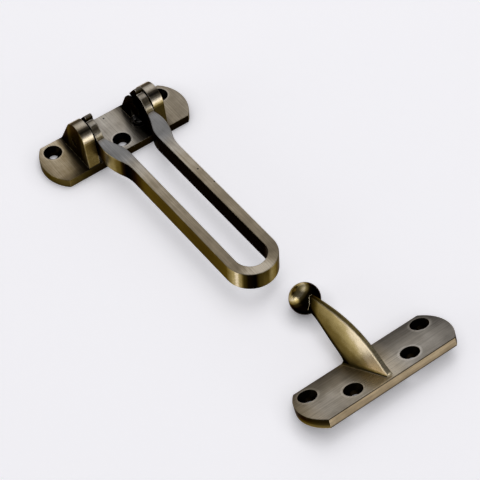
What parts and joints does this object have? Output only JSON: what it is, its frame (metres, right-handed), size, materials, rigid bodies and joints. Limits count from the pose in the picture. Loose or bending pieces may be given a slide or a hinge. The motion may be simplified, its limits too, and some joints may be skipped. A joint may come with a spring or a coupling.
{
  "type": "swing bar door guard",
  "caption": "Swing bar door guard in aged brass: a hinge plate with a pivoting slotted bar, and a keeper plate whose hook ends in a ball.",
  "frame": {"origin": "middle of the hinge plate's back face", "axes": "+X along the hinge plate and the pivot axis, -Y the way the bar reaches, +Z out of the hinge plate's face"},
  "size_m": [0.0885, 0.2138, 0.027],
  "materials": {
    "antique_brass": "brushed brass with dark patina in the recesses",
    "dark_brass": "darkened brass",
    "polished_steel": "polished steel ball",
    "spring_steel": "plain spring steel"
  },
  "bodies": {
    "base": {"hinge_plate": "antique_brass", "keeper": "antique_brass", "pivot_pin_left": "dark_brass", "pivot_pin_right": "dark_brass", "friction_washer_left": "dark_brass", "friction_washer_right": "dark_brass", "detent_ball_left": "polished_steel", "detent_ball_right": "polished_steel", "detent_spring_left": "spring_steel", "detent_spring_right": "spring_steel"},
    "swing_bar": {"swing_bar": "antique_brass"}
  },
  "joints": [
    {"name": "bar_swing", "type": "hinge", "parent": "base", "child": "swing_bar", "pos_m": [0, -0.001, 0.0128], "axis": [-1, 0, 0], "range_deg": [0, 127]}
  ]
}
